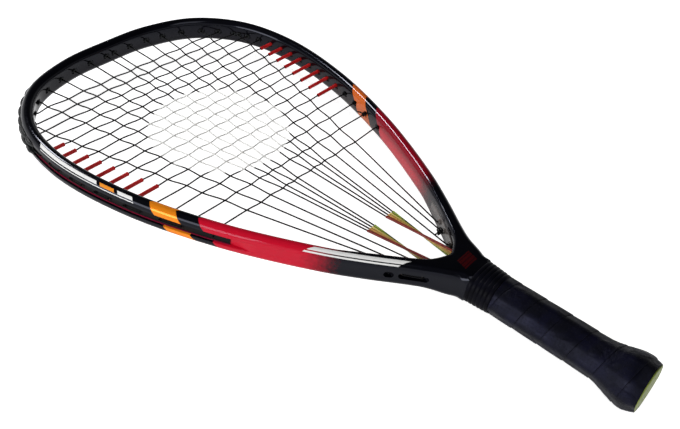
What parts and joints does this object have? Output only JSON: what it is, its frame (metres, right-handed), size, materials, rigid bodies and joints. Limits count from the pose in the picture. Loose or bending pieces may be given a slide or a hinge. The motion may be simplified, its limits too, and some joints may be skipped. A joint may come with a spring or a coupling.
{
  "type": "racquetball racket",
  "caption": "Racquetball racket with a teardrop hoop, woven strings in lined ports, a ribbed tip guard and a short wrapped handle with a flared butt.",
  "frame": {"origin": "centre of the flat butt face", "axes": "+Y from the butt to the head tip, +X across the head, +Z square to the string bed"},
  "size_m": [0.2834, 0.5589, 0.0385],
  "materials": {
    "frame_lacquer": "gloss lacquer over a carbon moulding",
    "guard_plastic": "satin nylon",
    "red_plastic": "satin nylon",
    "smoky_plastic": "translucent satin nylon",
    "olive_tube": "satin",
    "yellow_tube": "satin",
    "orange_tube": "satin",
    "brown_tube": "satin",
    "pallet_foam": "moulded foam",
    "string_nylon": "coated nylon",
    "lime_plastic": "satin",
    "grip_tape": "perforated synthetic leather",
    "collar_rubber": "matt rubber"
  },
  "bodies": {
    "root": {"frame": "frame_lacquer", "tip_guard": "guard_plastic", "side_grommet_strip_left": "red_plastic", "throat_eyelet_strip_left": "smoky_plastic", "cross_tube_left_1": "red_plastic", "cross_tube_left_2": "red_plastic", "cross_tube_left_3": "red_plastic", "cross_tube_left_4": "red_plastic", "cross_tube_left_5": "red_plastic", "cross_tube_left_6": "red_plastic", "cross_tube_left_7": "red_plastic", "cross_tube_left_8": "red_plastic", "throat_tube_left_1": "brown_tube", "throat_tube_left_2": "orange_tube", "throat_tube_left_3": "yellow_tube", "throat_tube_left_4": "olive_tube", "handle_pallet_left": "pallet_foam", "side_grommet_strip_right": "red_plastic", "throat_eyelet_strip_right": "smoky_plastic", "cross_tube_right_1": "red_plastic", "cross_tube_right_2": "red_plastic", "cross_tube_right_3": "red_plastic", "cross_tube_right_4": "red_plastic", "cross_tube_right_5": "red_plastic", "cross_tube_right_6": "red_plastic", "cross_tube_right_7": "red_plastic", "cross_tube_right_8": "red_plastic", "throat_tube_right_1": "olive_tube", "throat_tube_right_2": "yellow_tube", "throat_tube_right_3": "orange_tube", "throat_tube_right_4": "brown_tube", "handle_pallet_right": "pallet_foam", "main_string": "string_nylon", "cross_string": "string_nylon", "butt_cap": "lime_plastic", "butt_plug": "lime_plastic", "grip_wrap": "grip_tape", "grip_collar": "collar_rubber"}
  },
  "joints": []
}
